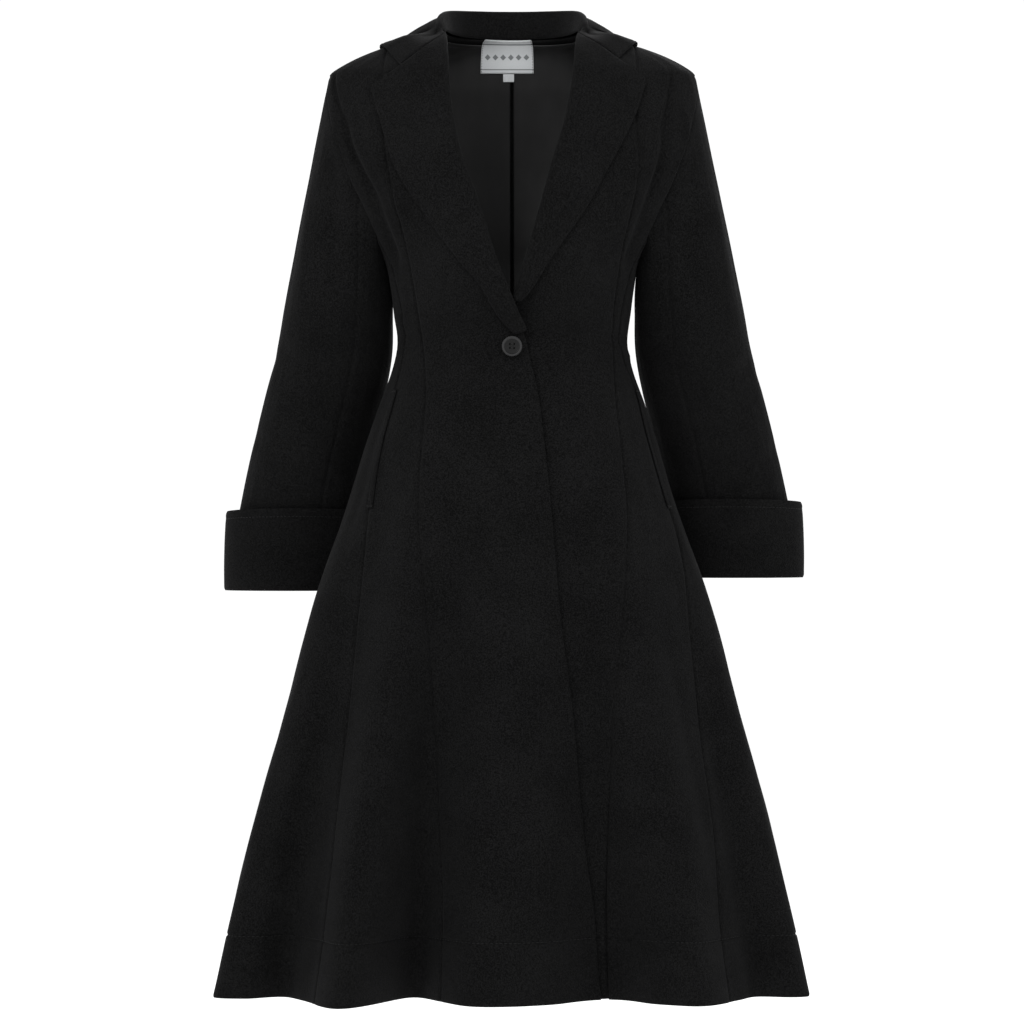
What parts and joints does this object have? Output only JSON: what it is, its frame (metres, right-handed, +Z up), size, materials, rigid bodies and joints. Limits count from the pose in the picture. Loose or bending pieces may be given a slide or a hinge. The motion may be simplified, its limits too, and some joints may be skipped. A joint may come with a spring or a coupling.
{
  "type": "coat",
  "caption": "Black wool swing coat with princess seams, notched lapels, deep turned-back cuffs and one button.",
  "frame": {"origin": "midway between the two side neck points, where the shoulders carry the coat", "axes": "+X to the wearer's left, -Y to the front, +Z up"},
  "size_m": [0.6798, 0.3368, 1.1306],
  "materials": {
    "wool": "brushed wool with a short nap",
    "lining": "smooth satin",
    "label": "woven ribbon",
    "button": "matte, turned",
    "thread": "twisted thread"
  },
  "bodies": {
    "root": {"right_front": "wool", "left_front": "wool", "right_side_front": "wool", "left_side_front": "wool", "right_side_panel": "wool", "left_side_panel": "wool", "right_side_back": "wool", "left_side_back": "wool", "right_back": "wool", "left_back": "wool", "right_top_sleeve": "wool", "left_top_sleeve": "wool", "right_under_sleeve": "wool", "left_under_sleeve": "wool", "right_cuff": "wool", "left_cuff": "wool", "right_lapel": "wool", "left_lapel": "wool", "collar": "wool", "collar_stand": "wool", "right_pocket_welt": "wool", "left_pocket_welt": "wool", "right_back_lining": "lining", "left_back_lining": "lining", "label": "label", "size_tab": "label", "button": "button", "button_shank": "thread"}
  },
  "joints": []
}
